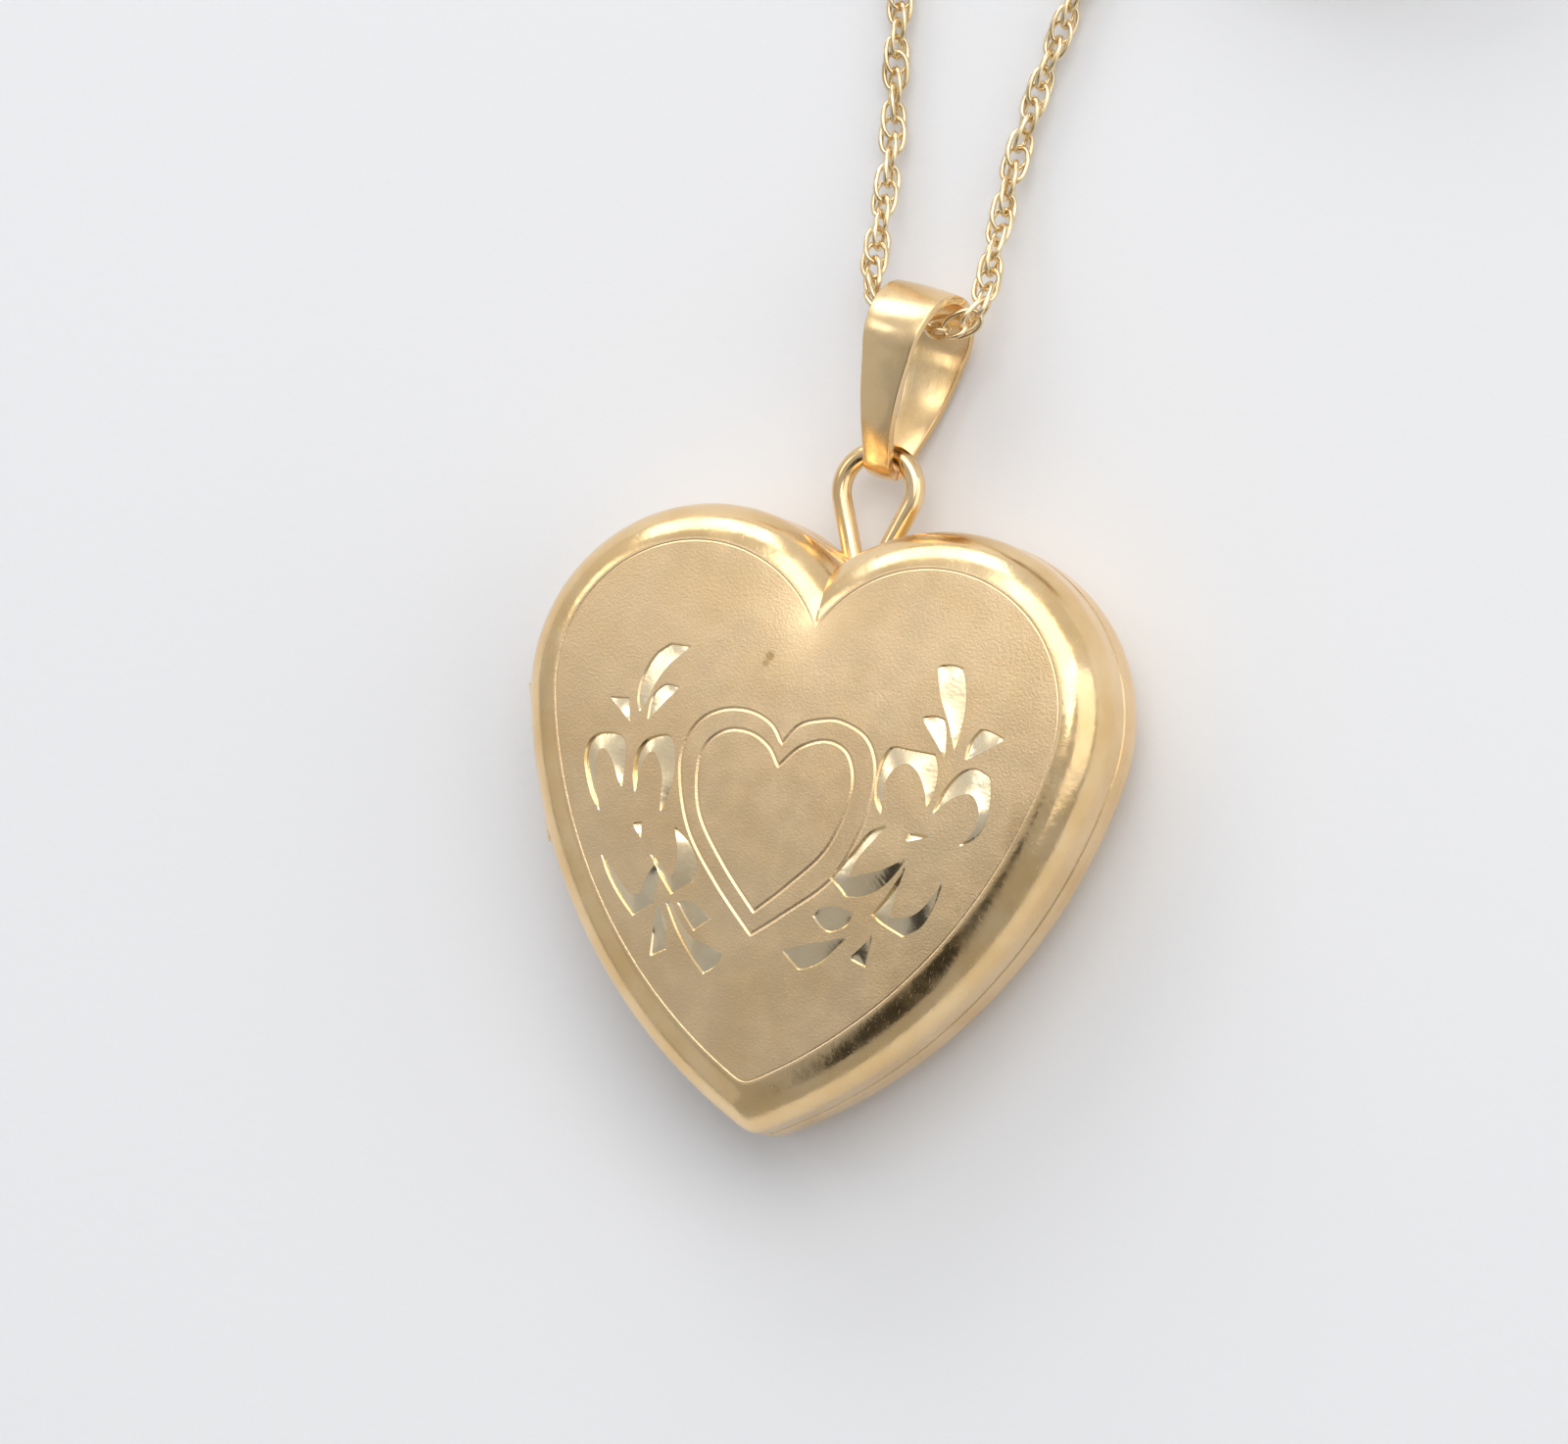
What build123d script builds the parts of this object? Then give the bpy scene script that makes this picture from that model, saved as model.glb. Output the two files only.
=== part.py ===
"""Heart locket on a loose rope chain.

The locket lies on its back. +Z is out of the engraved front, +Y runs towards the bail and
+X is to the wearer's left, seen from the front as the right. The origin is on the flat of the back.
"""

from build123d import *
import math
import os

# ---- driving dimensions, mm -------------------------------------------------------------------

SHEET = 0.30             # rolled sheet of both shells
HALF_DEPTH = 2.55        # flat of the back to the parting plane; the front half is the same
WALL_HEIGHT = 0.85       # upright wall of each half, beside the parting plane
ROLL_RADIUS = 1.50       # rolled edge between the wall and the face
ROLL_END = 83.0          # degrees of roll; the face then rises at the remaining 7 degrees
FLAT_SCALE = 0.70        # flat in the middle of each face, against the line where the roll ends

LOBE_CENTRE = (3.82, 1.65)
LOBE_RADIUS = 5.68
FLANK_RADIUS = 17.30
FLANK_START = -11.1      # degrees; the lobe's arc runs into the flank's arc here

RIM_RISE = 0.35          # the snap rim stands this far above the parting plane
RIM_THICKNESS = 0.26
SNAP_CLEARANCE = 0.06
FRAME_WIDTH = 1.10       # flat border that a photo frame shows
FRAME_SHEET = 0.15
CARD_THICKNESS = 0.15
WINDOW_THICKNESS = 0.18

HINGE_ANGLE = -17.0      # degrees round the flank's arc; the barrel lies along the side here
HINGE_STAND_OFF = 0.0    # hinge axis outside the outline
HINGE_LENGTH = 5.0
BARREL_RADIUS = 0.33
PIN_RADIUS = 0.15
KNUCKLE_GAP = 0.05
RUNNING_CLEARANCE = 0.04
BARREL_CLEARANCE = 0.08

WIRE_RADIUS = 0.31       # wire of the loop at the cleft
LOOP_RADIUS = 1.20       # middle of the wire
LOOP_CENTRE_Y = 8.50
LOOP_HEIGHT = 1.45
LOOP_FOOT = (0.36, 6.05)

BAIL_SHEET = 0.28
BAIL_CURL_RADIUS = 0.78  # outside of the curl round the wire
BAIL_FOLD_RADIUS = 1.75  # outside of the fold that carries the chain
BAIL_LENGTH = 3.45       # centre of the curl to centre of the fold
BAIL_YAW = 8.0           # degrees that the bail has slid round the wire loop
BAIL_LIFT = 8.0
BAIL_ROLL = 8.0
CURL_GAP = 0.12

CHAIN_DIAMETER = 1.10
# The chain's route where it isn't coiled: from the clasp, through the bail, to the coil.
CHAIN_ROUTE = [
    (-2.75, 27.00, 0.57),
    (-2.20, 24.60, 0.56),
    (-1.98, 21.90, 0.57),
    (-1.62, 19.20, 0.60),
    (-1.45, 16.60, 1.00),
    (-1.20, 13.98, 1.76),
    (2.68, 13.36, 2.29),
    (2.40, 16.50, 1.02),
    (2.42, 19.00, 0.60),
    (2.85, 21.60, 0.56),
    (3.55, 24.40, 0.57),
    (4.10, 27.20, 0.56),
    (4.30, 30.00, 0.57),
    (4.30, 32.80, 0.56),
]
COIL_CENTRE = (12.0, 35.2)
COIL_MIDDLE_RADIUS = 6.05
COIL_TURNS_ACROSS = 4
COIL_LAYERS = 3

CLASP_HEADING = 12.9     # degrees that the end of the chain turns left of +Y
CLASP_HEIGHT = 0.75
CLASP_RADIUS = 2.10      # middle of the spring ring's tube
CLASP_TUBE = 0.50
CLASP_BORE = 0.33
BOLT_RADIUS = 0.28
JUMP_RADIUS = 1.00
JUMP_WIRE = 0.20
EYE_RADIUS = 0.55
EYE_WIRE = 0.17
GAP_START, GAP_END = -5.0, 45.0      # degrees round the clasp's ring
BOLT_START, BOLT_END = -13.0, 135.0
SPRING_START, SPRING_END = 200.0, 255.0
LEVER_ANGLE = 62.0
SLOT_START, SLOT_END = 55.0, 128.0
LEVER_RADIUS = 0.20
LEVER_LENGTH = 1.25

PARTING = HALF_DEPTH


def polar(centre, radius, angle):
    """A point on a circle, by its angle in degrees."""
    turn = math.radians(angle)
    return (centre[0] + radius * math.cos(turn), centre[1] + radius * math.sin(turn))


FLANK_CENTRE = polar(LOBE_CENTRE, LOBE_RADIUS - FLANK_RADIUS, FLANK_START)


# ---- heart outline and the two halves ---------------------------------------------------------


def heart_face(inset, height):
    """The heart outline moved inward; its arcs still meet in points at the tip and the cleft."""
    lobe = LOBE_RADIUS - inset
    flank = FLANK_RADIUS - inset
    tip = -math.degrees(math.acos(-FLANK_CENTRE[0] / flank))
    cleft = math.degrees(math.acos(-LOBE_CENTRE[0] / lobe))
    right = [
        CenterArc(FLANK_CENTRE, flank, tip, FLANK_START - tip),
        CenterArc(LOBE_CENTRE, lobe, FLANK_START, cleft - FLANK_START),
    ]
    left = [mirror(edge, about=Plane.YZ).edge() for edge in right]
    return Pos(0, 0, height) * Face(Wire(right + left))


def heart_plate(inset, low, high):
    return extrude(heart_face(inset, low), amount=high - low, dir=(0, 0, 1))


def heart_ring(outer, inner, low, high):
    return heart_plate(outer, low, high) - heart_plate(inner, low, high)


def domed_half(offset):
    """One half's solid, parting plane down at z = 0, with its skin `offset` below the outer one."""
    radius = ROLL_RADIUS - offset
    turns = [ROLL_END * step / 4 for step in range(5)]
    sections = []
    for turn in turns:
        across = ROLL_RADIUS - radius * math.cos(math.radians(turn))
        up = WALL_HEIGHT + radius * math.sin(math.radians(turn))
        sections.append(heart_face(across, up))
    flat = Pos(0, 0, HALF_DEPTH - offset) * scale(heart_face(across, 0), by=FLAT_SCALE)
    wall = heart_plate(offset, 0, WALL_HEIGHT)
    return wall + loft(sections) + loft([sections[-1], flat], ruled=True)


def shell():
    return domed_half(0) - domed_half(SHEET)


def hinge_place():
    """Origin on the hinge axis, z along it, on the left side of the heart."""
    x, y = polar(FLANK_CENTRE, FLANK_RADIUS + HINGE_STAND_OFF, HINGE_ANGLE)
    lean = math.radians(-HINGE_ANGLE)
    return Plane(origin=(-x, y, PARTING), x_dir=(0, 0, 1), z_dir=(-math.sin(lean), math.cos(lean), 0))


def on_hinge(radius, middle, length):
    return hinge_place() * Pos(0, 0, middle) * Cylinder(radius, length)


KNUCKLE = HINGE_LENGTH / 3


def barrel_room():
    """Space that both halves leave for the other half's knuckles."""
    return on_hinge(BARREL_RADIUS + BARREL_CLEARANCE, 0, HINGE_LENGTH + 2 * BARREL_CLEARANCE)


def back_shell():
    outer_knuckles = on_hinge(BARREL_RADIUS, -KNUCKLE, KNUCKLE) + on_hinge(BARREL_RADIUS, KNUCKLE, KNUCKLE)
    middle_room = on_hinge(BARREL_RADIUS + BARREL_CLEARANCE, 0, KNUCKLE + 2 * BARREL_CLEARANCE)
    half = Pos(0, 0, PARTING) * mirror(shell(), about=Plane.XY)
    return half - outer_knuckles - middle_room - loop_wire()


def front_cover():
    end_room = on_hinge(BARREL_RADIUS + BARREL_CLEARANCE, -KNUCKLE, KNUCKLE + BARREL_CLEARANCE)
    end_room += on_hinge(BARREL_RADIUS + BARREL_CLEARANCE, KNUCKLE, KNUCKLE + BARREL_CLEARANCE)
    return Pos(0, 0, PARTING) * shell() - on_hinge(BARREL_RADIUS, 0, KNUCKLE) - end_room


# ---- inside of the halves ---------------------------------------------------------------------

RIM_INNER = SHEET + SNAP_CLEARANCE + RIM_THICKNESS


def snap_rim():
    """Upstand that is soldered inside the back and that the cover snaps over."""
    seated = heart_ring(SHEET, RIM_INNER, PARTING - WALL_HEIGHT, PARTING - 0.03)
    proud = heart_ring(SHEET + SNAP_CLEARANCE, RIM_INNER, PARTING - 0.03, PARTING + RIM_RISE)
    return seated + proud - barrel_room()


def photo_frame(outer, skirt_outer, face, inward):
    """Flat border with a skirt behind it; `inward` is +1 where the half lies above its face."""
    inner = outer + FRAME_WIDTH
    border = sorted((face, face + inward * FRAME_SHEET))
    skirt = sorted((face + inward * FRAME_SHEET, face + inward * 3 * FRAME_SHEET))
    return heart_ring(outer, inner, *border) + heart_ring(skirt_outer, skirt_outer + 0.16, *skirt)


BACK_FACE = PARTING - 0.02
COVER_FACE = PARTING + RIM_RISE + 0.07
BACK_SKIRT = RIM_INNER + 0.02
COVER_SKIRT = SHEET + 0.12
CARD_GAP = 0.18


def back_photo_frame():
    return photo_frame(RIM_INNER + 0.02, BACK_SKIRT, BACK_FACE, -1)


def cover_photo_frame():
    return photo_frame(SHEET + 0.02, COVER_SKIRT, COVER_FACE, 1)


def card(skirt, face, inward, depth, thickness):
    levels = sorted((face + inward * depth, face + inward * (depth + thickness)))
    return heart_plate(skirt + CARD_GAP, *levels)


def window(skirt, face, inward):
    return card(skirt, face, inward, FRAME_SHEET, WINDOW_THICKNESS)


def photo(skirt, face, inward):
    return card(skirt, face, inward, FRAME_SHEET + WINDOW_THICKNESS, CARD_THICKNESS)


# ---- hinge ------------------------------------------------------------------------------------


def knuckle(middle, bore):
    length = KNUCKLE - KNUCKLE_GAP
    return on_hinge(BARREL_RADIUS, middle, length) - on_hinge(bore, middle, length + 1)


def back_knuckles():
    return [knuckle(-KNUCKLE, PIN_RADIUS), knuckle(KNUCKLE, PIN_RADIUS)]


def cover_knuckle():
    return knuckle(0, PIN_RADIUS + RUNNING_CLEARANCE)


def hinge_pin():
    return on_hinge(PIN_RADIUS, 0, HINGE_LENGTH - KNUCKLE_GAP)


# ---- loop and bail ----------------------------------------------------------------------------


def loop_wire():
    """Omega of round wire: a near circle whose two legs close in towards the cleft."""
    foot_x, foot_y = LOOP_FOOT
    reach = math.hypot(foot_x, foot_y - LOOP_CENTRE_Y)
    bearing = math.degrees(math.atan2(foot_y - LOOP_CENTRE_Y, foot_x))
    touch = bearing + math.degrees(math.acos(LOOP_RADIUS / reach))
    centre = (0, LOOP_CENTRE_Y, LOOP_HEIGHT)
    start = polar(centre, LOOP_RADIUS, touch)
    legs = [
        Line((foot_x, foot_y, LOOP_HEIGHT), (*start, LOOP_HEIGHT)),
        Line((-start[0], start[1], LOOP_HEIGHT), (-foot_x, foot_y, LOOP_HEIGHT)),
    ]
    path = Wire([legs[0], CenterArc(centre, LOOP_RADIUS, touch, 180 - 2 * touch), legs[1]])
    section = Plane(origin=path @ 0, z_dir=path % 0) * Circle(WIRE_RADIUS)
    return sweep(section, path=path)


def bail_place():
    """Centre of the curl on the wire; x along the wire, y up the bail, z out of its front."""
    x = LOOP_RADIUS * math.sin(math.radians(BAIL_YAW))
    y = LOOP_CENTRE_Y + LOOP_RADIUS * math.cos(math.radians(BAIL_YAW))
    place = Pos(x, y, LOOP_HEIGHT) * Rotation(0, 0, -BAIL_YAW)
    return place * Rotation(BAIL_LIFT, 0, 0) * Rotation(0, -BAIL_ROLL, 0)


def belt(small, large):
    """Side view of the bail: two circles and the straight strips that touch both."""
    slope = (large - small) / BAIL_LENGTH
    level = math.sqrt(1 - slope * slope)
    near = (-slope * small, level * small)
    far = (BAIL_LENGTH - slope * large, level * large)
    strips = Polygon(near, far, (far[0], -far[1]), (near[0], -near[1]), align=None)
    return strips + Circle(small) + Pos(BAIL_LENGTH, 0) * Circle(large)


def bail():
    band = belt(BAIL_CURL_RADIUS, BAIL_FOLD_RADIUS)
    band -= belt(BAIL_CURL_RADIUS - BAIL_SHEET, BAIL_FOLD_RADIUS - BAIL_SHEET)
    band -= Pos(-BAIL_CURL_RADIUS, 0) * Rectangle(BAIL_CURL_RADIUS, CURL_GAP)
    end = BAIL_LENGTH + BAIL_FOLD_RADIUS + 0.1
    solid = extrude(Plane.YZ * band, amount=2, both=True)
    edge = Spline((0.48, -0.9), (0.50, 0.3), (0.78, 2.2), (0.95, 3.6), (1.15, end))
    outline = Face(
        Wire(
            [
                edge,
                Line((1.15, end), (-1.15, end)),
                mirror(edge, about=Plane.YZ).edge(),
                Line((-0.48, -0.9), (0.48, -0.9)),
            ]
        )
    )
    return bail_place() * (solid & extrude(outline, amount=3, both=True))


# ---- chain ------------------------------------------------------------------------------------


def corner_radii(points):
    """0.45 of the shorter run, divided by the tangent of half the turn."""
    radii = []
    for before, here, after in zip(points, points[1:], points[2:]):
        run_in = Vector(*here) - Vector(*before)
        run_out = Vector(*after) - Vector(*here)
        half_turn = math.radians(run_in.get_angle(run_out) / 2)
        radii.append(0.45 * min(run_in.length, run_out.length) / math.tan(half_turn))
    return radii


def chain_strands():
    """The two strands and the turn through the bail, as the tube that the links fill."""
    radii = corner_radii(CHAIN_ROUTE)
    path = FilletPolyline(*CHAIN_ROUTE, radius=radii)
    section = Plane(origin=path @ 0, z_dir=path % 0) * Circle(CHAIN_DIAMETER / 2)
    tube = sweep(section, path=path)
    expected = math.pi * (CHAIN_DIAMETER / 2) ** 2 * path.length
    print("chain strands: length %.2f, volume %.2f of %.2f" % (path.length, tube.volume, expected))
    print("corner radii:", ", ".join("%.2f" % radius for radius in radii))
    return tube


def chain_coil():
    width = COIL_TURNS_ACROSS * CHAIN_DIAMETER
    height = COIL_LAYERS * CHAIN_DIAMETER
    section = Pos(COIL_MIDDLE_RADIUS, height / 2) * RectangleRounded(width, height, CHAIN_DIAMETER / 2)
    return Pos(*COIL_CENTRE, 0) * revolve(Plane.XZ * section, axis=Axis.Z)


# ---- clasp ------------------------------------------------------------------------------------


def clasp_place(along=0.0):
    """On the line of the chain's end, `along` beyond it; y leads away from the chain."""
    x, y, _ = CHAIN_ROUTE[0]
    return Pos(x, y, CLASP_HEIGHT) * Rotation(0, 0, CLASP_HEADING) * Pos(0, along, 0)


JUMP_CENTRE = JUMP_RADIUS - 0.05
EYE_CENTRE = JUMP_CENTRE + JUMP_RADIUS + 0.08
RING_CENTRE = EYE_CENTRE + EYE_RADIUS + EYE_WIRE - 0.1 + CLASP_TUBE + CLASP_RADIUS


def ring_arc(radius, wire, start, end):
    """Round bar bent to part of a circle in the XY plane."""
    section = Plane.XZ * Pos(radius, 0) * Circle(wire)
    return Rotation(0, 0, start) * revolve(section, axis=Axis.Z, revolution_arc=end - start)


def clasp_jump_ring():
    return clasp_place(JUMP_CENTRE) * Torus(JUMP_RADIUS, JUMP_WIRE)


def clasp_ring():
    tube = ring_arc(CLASP_RADIUS, CLASP_TUBE, GAP_END, GAP_START + 360)
    bore = ring_arc(CLASP_RADIUS, CLASP_BORE, GAP_END - 1, GAP_START + 361)
    slot_tool = Plane.XZ * Pos(CLASP_RADIUS + CLASP_TUBE, 0) * Rectangle(2 * CLASP_TUBE, 2 * LEVER_RADIUS + 0.1)
    slot = Rotation(0, 0, SLOT_START) * revolve(
        slot_tool, axis=Axis.Z, revolution_arc=SLOT_END - SLOT_START
    )
    return clasp_place(RING_CENTRE) * (tube - bore - slot)


def clasp_bolt():
    """Sliding wire that closes the ring, with the thumb lever that pulls it back."""
    bar = ring_arc(CLASP_RADIUS, BOLT_RADIUS, BOLT_START, BOLT_END)
    lever = Pos(CLASP_RADIUS + LEVER_LENGTH / 2, 0, 0) * Rotation(0, 90, 0) * Cylinder(LEVER_RADIUS, LEVER_LENGTH)
    return clasp_place(RING_CENTRE) * (bar + Rotation(0, 0, LEVER_ANGLE) * lever)


def clasp_spring():
    """Envelope of the wound spring, pressed up as it is when the bolt is pulled back."""
    coil = ring_arc(CLASP_RADIUS, BOLT_RADIUS, SPRING_START, SPRING_END)
    bore = ring_arc(CLASP_RADIUS, BOLT_RADIUS / 2, SPRING_START - 1, SPRING_END + 1)
    return clasp_place(RING_CENTRE) * (coil - bore)


def clasp_eye():
    """Small ring sunk into the clasp's tube, where the jump ring hangs."""
    return clasp_place(EYE_CENTRE) * Rotation(0, 90, 0) * Torus(EYE_RADIUS, EYE_WIRE)


def chain_end_ring():
    """Ring on the chain's other end, lying on top of the coil."""
    top = COIL_LAYERS * CHAIN_DIAMETER + JUMP_WIRE
    x, y = polar(COIL_CENTRE, COIL_MIDDLE_RADIUS, -60)
    return Pos(x, y, top) * Torus(JUMP_RADIUS, JUMP_WIRE)


NODES = {
    "back_shell": back_shell(),
    "front_cover": front_cover(),
    "snap_rim": snap_rim(),
    "back_photo_frame": back_photo_frame(),
    "cover_photo_frame": cover_photo_frame(),
    "back_window": window(BACK_SKIRT, BACK_FACE, -1),
    "cover_window": window(COVER_SKIRT, COVER_FACE, 1),
    "back_photo": photo(BACK_SKIRT, BACK_FACE, -1),
    "cover_photo": photo(COVER_SKIRT, COVER_FACE, 1),
    "back_knuckles": Compound(children=back_knuckles()),
    "cover_knuckle": cover_knuckle(),
    "hinge_pin": hinge_pin(),
    "bail_loop": loop_wire(),
    "bail": bail(),
    "chain_strands": chain_strands(),
    "chain_coil": chain_coil(),
    "clasp_jump_ring": clasp_jump_ring(),
    "clasp_eye": clasp_eye(),
    "clasp_ring": clasp_ring(),
    "clasp_bolt": clasp_bolt(),
    "clasp_spring": clasp_spring(),
    "chain_end_ring": chain_end_ring(),
}

os.makedirs("parts", exist_ok=True)
for node, shape in NODES.items():
    export_step(shape, f"parts/{node}.step")
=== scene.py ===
import math

import bmesh
import bpy
import numpy as np
from mathutils import Matrix, Vector
from mathutils.geometry import delaunay_2d_cdt


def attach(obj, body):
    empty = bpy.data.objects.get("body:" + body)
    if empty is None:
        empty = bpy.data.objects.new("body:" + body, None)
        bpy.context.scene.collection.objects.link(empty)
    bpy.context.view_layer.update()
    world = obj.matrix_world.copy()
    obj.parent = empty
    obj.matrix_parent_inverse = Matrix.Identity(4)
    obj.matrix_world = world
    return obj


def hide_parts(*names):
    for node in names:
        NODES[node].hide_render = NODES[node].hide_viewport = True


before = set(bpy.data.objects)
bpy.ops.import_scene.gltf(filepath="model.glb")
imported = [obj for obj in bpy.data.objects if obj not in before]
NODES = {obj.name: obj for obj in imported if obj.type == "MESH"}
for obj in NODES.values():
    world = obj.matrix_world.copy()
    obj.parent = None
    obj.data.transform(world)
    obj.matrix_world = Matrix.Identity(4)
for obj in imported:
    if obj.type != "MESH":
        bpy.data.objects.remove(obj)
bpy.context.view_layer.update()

MM = 0.001
UP = np.array([0.0, 0.0, 1.0])

# ---- dimensions shared with the CAD, mm --------------------------------------------------------

SHEET = 0.30
PARTING = 2.55
WALL_HEIGHT = 0.85
ROLL_RADIUS = 1.50
LOBE_CENTRE = (3.82, 1.65)
LOBE_RADIUS = 5.68
FLANK_RADIUS = 17.30
FLANK_START = math.radians(-11.1)
FLANK_CENTRE = (
    LOBE_CENTRE[0] + (LOBE_RADIUS - FLANK_RADIUS) * math.cos(FLANK_START),
    LOBE_CENTRE[1] + (LOBE_RADIUS - FLANK_RADIUS) * math.sin(FLANK_START),
)

HINGE_ANGLE = math.radians(-17.0)
HINGE_STAND_OFF = 0.0
HINGE_LENGTH = 5.0
BARREL_ROOM = 0.41
KNUCKLE = HINGE_LENGTH / 3

WIRE_RADIUS = 0.31
LOOP_RADIUS = 1.20
LOOP_CENTRE_Y = 8.50
LOOP_HEIGHT = 1.45
LOOP_FOOT = (0.36, 6.05)

BAIL_SHEET = 0.28
BAIL_CURL = 0.64         # middle of the sheet
BAIL_FOLD = 1.61
BAIL_LENGTH = 3.45
BAIL_TURN = math.radians(8.0)

CHAIN_DIAMETER = 1.10
CHAIN_ROUTE = [
    (-2.75, 27.00, 0.57),
    (-2.20, 24.60, 0.56),
    (-1.98, 21.90, 0.57),
    (-1.62, 19.20, 0.60),
    (-1.45, 16.60, 1.00),
    (-1.20, 13.98, 1.76),
    (2.68, 13.36, 2.29),
    (2.40, 16.50, 1.02),
    (2.42, 19.00, 0.60),
    (2.85, 21.60, 0.56),
    (3.55, 24.40, 0.57),
    (4.10, 27.20, 0.56),
    (4.30, 30.00, 0.57),
    (4.30, 32.80, 0.56),
]
COIL_CENTRE = (12.0, 35.2)
COIL_OUTER = 7.70
COIL_INNER = 4.40

# ---- dimensions of the visible pieces alone, mm ------------------------------------------------

ROLL_END = math.radians(79.0)        # the CAD's roll goes on to 83 degrees
BORDER_INSET = ROLL_RADIUS * (1 - math.cos(ROLL_END))
BORDER_RISE = WALL_HEIGHT + ROLL_RADIUS * math.sin(ROLL_END)
BORDER_LINE = 1.317      # inset of the fine line round the satin face
FRONT_RISE = 0.48        # middle of the engraved face above its roll's end, 0.25 over the CAD's face
BACK_RISE = PARTING - BORDER_RISE    # the same on the back, whose middle touches the table

# ---- nodes for materials -----------------------------------------------------------------------


class Shader:
    """A material being put together: every call adds one node and returns the socket it makes."""

    def __init__(self, name):
        self.material = bpy.data.materials.new(name)
        self.material.use_nodes = True
        self.tree = self.material.node_tree
        self.principled = self.tree.nodes["Principled BSDF"]
        self.place = self.add("ShaderNodeTexCoord").outputs["Object"]

    def add(self, kind, **settings):
        node = self.tree.nodes.new(kind)
        for key, value in settings.items():
            setattr(node, key, value)
        return node

    def plug(self, socket, value):
        if isinstance(value, bpy.types.NodeSocket):
            self.tree.links.new(value, socket)
        else:
            socket.default_value = value

    def stretched(self, turn, stretch):
        """Object coordinates turned about z and scaled along each axis, for marks with a direction."""
        node = self.add("ShaderNodeMapping")
        self.plug(node.inputs["Vector"], self.place)
        node.inputs["Rotation"].default_value = (0, 0, math.radians(turn))
        node.inputs["Scale"].default_value = stretch
        return node.outputs["Vector"]

    def noise(self, size, detail=3.0, where=None, roughness=0.5):
        """Noise whose blobs are about `size` mm across."""
        node = self.add("ShaderNodeTexNoise")
        self.plug(node.inputs["Vector"], where or self.place)
        node.inputs["Scale"].default_value = 1 / (size * MM)
        node.inputs["Detail"].default_value = detail
        node.inputs["Roughness"].default_value = roughness
        return node.outputs["Fac"]

    def span(self, value, low, high, to_low, to_high):
        node = self.add("ShaderNodeMapRange")
        node.interpolation_type = "SMOOTHSTEP"
        for socket, number in zip(node.inputs[:5], (value, low, high, to_low, to_high)):
            self.plug(socket, number)
        return node.outputs["Result"]

    def math(self, operation, a, b):
        node = self.add("ShaderNodeMath", operation=operation)
        self.plug(node.inputs[0], a)
        self.plug(node.inputs[1], b)
        return node.outputs["Value"]

    def blend(self, share, first, second):
        node = self.add("ShaderNodeMix", data_type="RGBA")
        self.plug(node.inputs["Factor"], share)
        self.plug(node.inputs["A"], first)
        self.plug(node.inputs["B"], second)
        return node.outputs["Result"]

    def near(self, centre, radius, soft):
        """1 inside a spot on the part, falling to 0 over `soft` mm, with an uneven edge."""
        node = self.add("ShaderNodeVectorMath", operation="DISTANCE")
        self.plug(node.inputs[0], self.place)
        node.inputs[1].default_value = [c * MM for c in centre]
        wobble = self.math("MULTIPLY", self.math("SUBTRACT", self.noise(0.35), 0.5), radius * MM)
        distance = self.math("ADD", node.outputs["Value"], wobble)
        return self.span(distance, radius * MM, (radius + soft) * MM, 1.0, 0.0)

    def bump(self, layers, flat=False):
        """Stacks height fields, given as (height, depth in mm), on a smooth or a flat surface."""
        normal = self.add("ShaderNodeNewGeometry").outputs["True Normal"] if flat else None
        for height, depth in layers:
            node = self.add("ShaderNodeBump")
            node.inputs["Strength"].default_value = 1.0
            node.inputs["Distance"].default_value = depth * MM
            self.plug(node.inputs["Height"], height)
            if normal is not None:
                self.plug(node.inputs["Normal"], normal)
            normal = node.outputs["Normal"]
        self.plug(self.principled.inputs["Normal"], normal)

    def set(self, **sockets):
        for name, value in sockets.items():
            self.plug(self.principled.inputs[name.replace("_", " ")], value)


def scratches(shader, turn, width, threshold):
    """Fine lines in one direction: noise drawn out along it, with only the peaks kept."""
    drawn = shader.stretched(turn, (1.0, 0.03, 1.0))
    return shader.span(shader.noise(width, 2.0, drawn), threshold, threshold + 0.06, 0.0, 1.0)


PALE = (0.92, 0.68, 0.38, 1)
DEEP = (0.84, 0.58, 0.28, 1)
# dark brown for tarnish specks, also used for painted shade and a painted dark reflection
TARNISH_AND_PAINTED_SHADE = (0.42, 0.25, 0.10, 1)


def metal(name, light, deep, smooth, worn, grain=0.0, ripple=0.0, marks=0.4, spots=()):
    """Metal whose colour and gloss drift in soft patches, with hairline scratches and a fine grain.

    Spots pull the colour towards a dark brown, each given as centre, radius and strength: small tarnish
    specks, and also painted shade and a painted dark reflection where a call places them.
    """
    s = Shader(name)
    patches = s.noise(2.2, 4.0)
    colour = s.blend(s.span(patches, 0.35, 0.65, 0.0, 1.0), light, deep)
    for centre, radius, strength in spots:
        share = s.math("MULTIPLY", s.near(centre, radius, radius * 1.5), strength)
        colour = s.blend(share, colour, TARNISH_AND_PAINTED_SHADE)
    lines = s.math("MAXIMUM", scratches(s, 24, 0.05, 0.66), scratches(s, -51, 0.04, 0.68))
    smudge = s.span(s.noise(0.9, 3.0), 0.38, 0.68, smooth, worn)
    s.set(
        Base_Color=colour,
        Metallic=1.0,
        Roughness=s.math("ADD", smudge, s.math("MULTIPLY", lines, 0.12 * marks)),
    )
    layers = [(s.noise(1.6, 2.0), 0.003), (lines, -0.0012 * marks)]
    if ripple:
        layers.append((s.noise(0.32, 3.0), ripple))
    if grain:
        layers.append((s.noise(0.07, 2.0, roughness=0.6), grain))
    s.bump(layers)
    return s.material


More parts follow.
